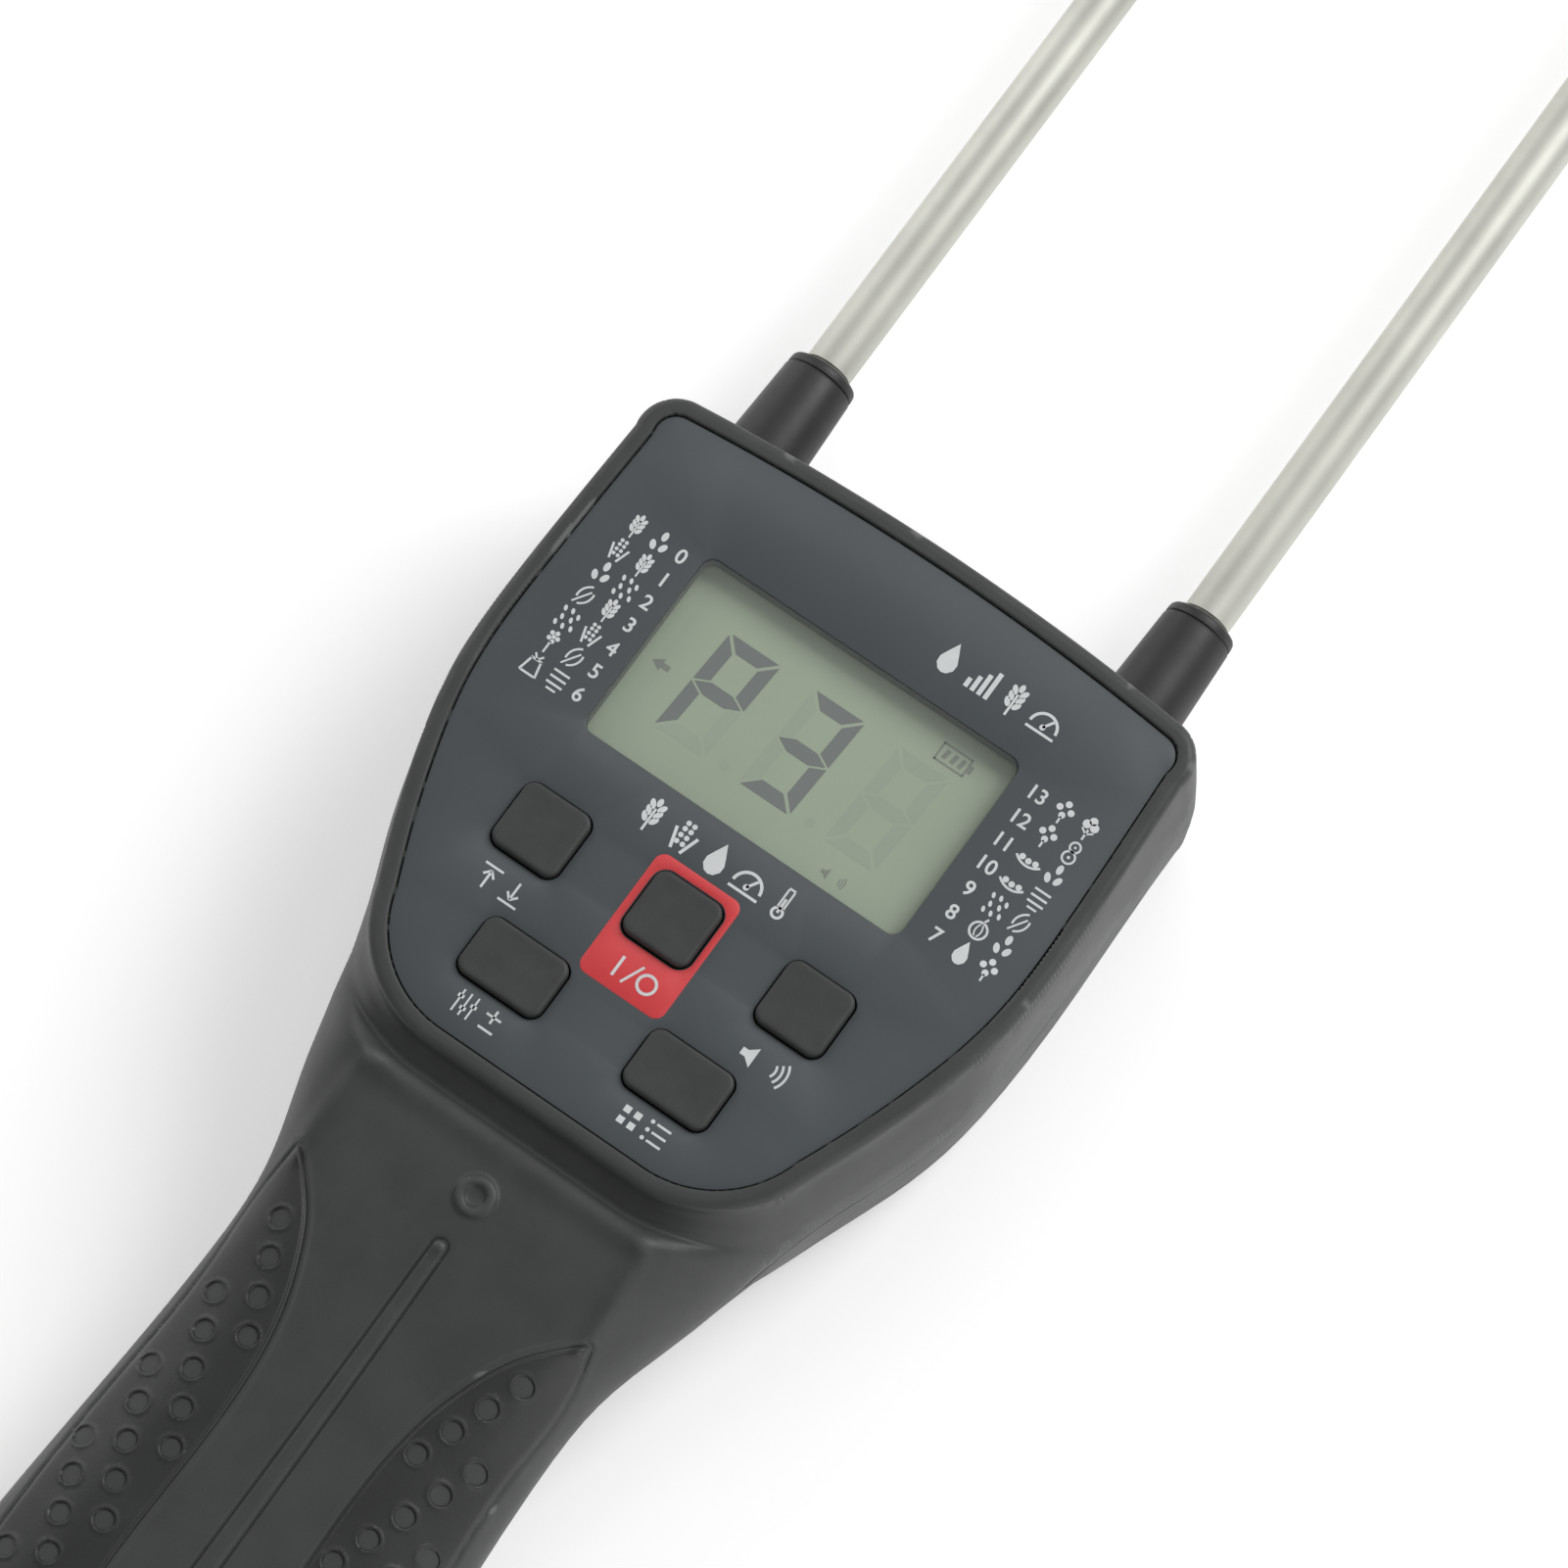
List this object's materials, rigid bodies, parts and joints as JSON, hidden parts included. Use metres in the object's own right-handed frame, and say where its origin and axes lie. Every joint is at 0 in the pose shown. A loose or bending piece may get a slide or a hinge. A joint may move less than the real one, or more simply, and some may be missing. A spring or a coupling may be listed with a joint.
{
  "type": "grain moisture meter",
  "caption": "Hand-held grain moisture meter: pod-shaped head with a segment display and keys, rubber grips on the handle and long parallel steel probes.",
  "frame": {"origin": "middle of the footprint, on the surface that the meter lies on with its display up", "axes": "+X to the right of the display, +Y towards the probe tips, +Z out of the face panel"},
  "size_m": [0.0782, 0.4836, 0.031],
  "materials": {
    "shell_plastic": "fine moulded texture",
    "panel_film": "satin printed film",
    "window_clear": "clear",
    "lcd_cell": "satin grey-green",
    "reflector_film": "satin",
    "frame_plastic": "moulded",
    "zebra_rubber": "satin",
    "board_resin": "solder resist",
    "chip_resin": "moulded",
    "can_aluminium": "sleeved",
    "key_rubber": "soft matte",
    "contact_carbon": "matte",
    "grip_rubber": "soft matte",
    "sleeve_rubber": "fine moulded texture",
    "probe_steel": "drawn and brushed",
    "insulator_resin": "turned",
    "core_brass": "drawn",
    "carrier_plastic": "moulded",
    "screw_steel": "zinc plated",
    "speaker_metal": "plated",
    "speaker_paper": "pressed paper",
    "cell_sleeve": "printed sleeve",
    "contact_plate": "nickel plated",
    "lead_red": "insulation",
    "lead_black": "insulation"
  },
  "bodies": {
    "meter_body": {"front_shell": "shell_plastic", "back_shell": "shell_plastic", "face_panel": "panel_film", "display_window": "window_clear", "lcd_glass": "lcd_cell", "lcd_reflector": "reflector_film", "lcd_frame": "frame_plastic", "zebra_strip": "zebra_rubber", "main_board": "board_resin", "microcontroller": "chip_resin", "voice_chip": "chip_resin", "board_capacitors": "can_aluminium", "key_mat": "key_rubber", "probe_carrier": "carrier_plastic", "rod_set_screws": "screw_steel", "speaker_basket": "speaker_metal", "speaker_cone": "speaker_paper", "contact_positive": "contact_plate", "contact_negative": "contact_plate", "contact_bridge": "contact_plate", "battery_lead_red": "lead_red", "battery_lead_black": "lead_black", "speaker_leads": "lead_red", "shell_screws": "screw_steel", "board_screws": "screw_steel", "carrier_screws": "screw_steel", "grip_pad_left": "grip_rubber", "probe_tube_left": "probe_steel", "probe_insulator_left": "insulator_resin", "probe_tip_left": "probe_steel", "probe_core_left": "core_brass", "probe_sleeve_left": "sleeve_rubber", "probe_lead_left": "lead_black", "grip_pad_right": "grip_rubber", "probe_tube_right": "probe_steel", "probe_insulator_right": "insulator_resin", "probe_tip_right": "probe_steel", "probe_core_right": "core_brass", "probe_sleeve_right": "sleeve_rubber", "probe_lead_right": "lead_black", "battery_1": "cell_sleeve", "battery_2": "cell_sleeve", "battery_3": "cell_sleeve", "battery_4": "cell_sleeve"},
    "limit_key": {"key_limit": "key_rubber", "contact_pill_limit": "contact_carbon"},
    "power_key": {"key_power": "key_rubber", "contact_pill_power": "contact_carbon"},
    "voice_key": {"key_voice": "key_rubber", "contact_pill_voice": "contact_carbon"},
    "adjust_key": {"key_adjust": "key_rubber", "contact_pill_adjust": "contact_carbon"},
    "variety_key": {"key_variety": "key_rubber", "contact_pill_variety": "contact_carbon"},
    "battery_cover": {"battery_door": "shell_plastic"}
  },
  "joints": [
    {"name": "limit_key_press", "type": "slide", "parent": "meter_body", "child": "limit_key", "axis": [0, 0, -1], "range_m": [0, 0.001], "stiffness_N_per_m": 500},
    {"name": "power_key_press", "type": "slide", "parent": "meter_body", "child": "power_key", "axis": [0, 0, -1], "range_m": [0, 0.001], "stiffness_N_per_m": 500},
    {"name": "voice_key_press", "type": "slide", "parent": "meter_body", "child": "voice_key", "axis": [0, 0, -1], "range_m": [0, 0.001], "stiffness_N_per_m": 500},
    {"name": "adjust_key_press", "type": "slide", "parent": "meter_body", "child": "adjust_key", "axis": [0, 0, -1], "range_m": [0, 0.001], "stiffness_N_per_m": 500},
    {"name": "variety_key_press", "type": "slide", "parent": "meter_body", "child": "variety_key", "axis": [0, 0, -1], "range_m": [0, 0.001], "stiffness_N_per_m": 500},
    {"name": "battery_door_slide", "type": "slide", "parent": "meter_body", "child": "battery_cover", "axis": [0, -1, 0], "range_m": [0, 0.014]}
  ]
}
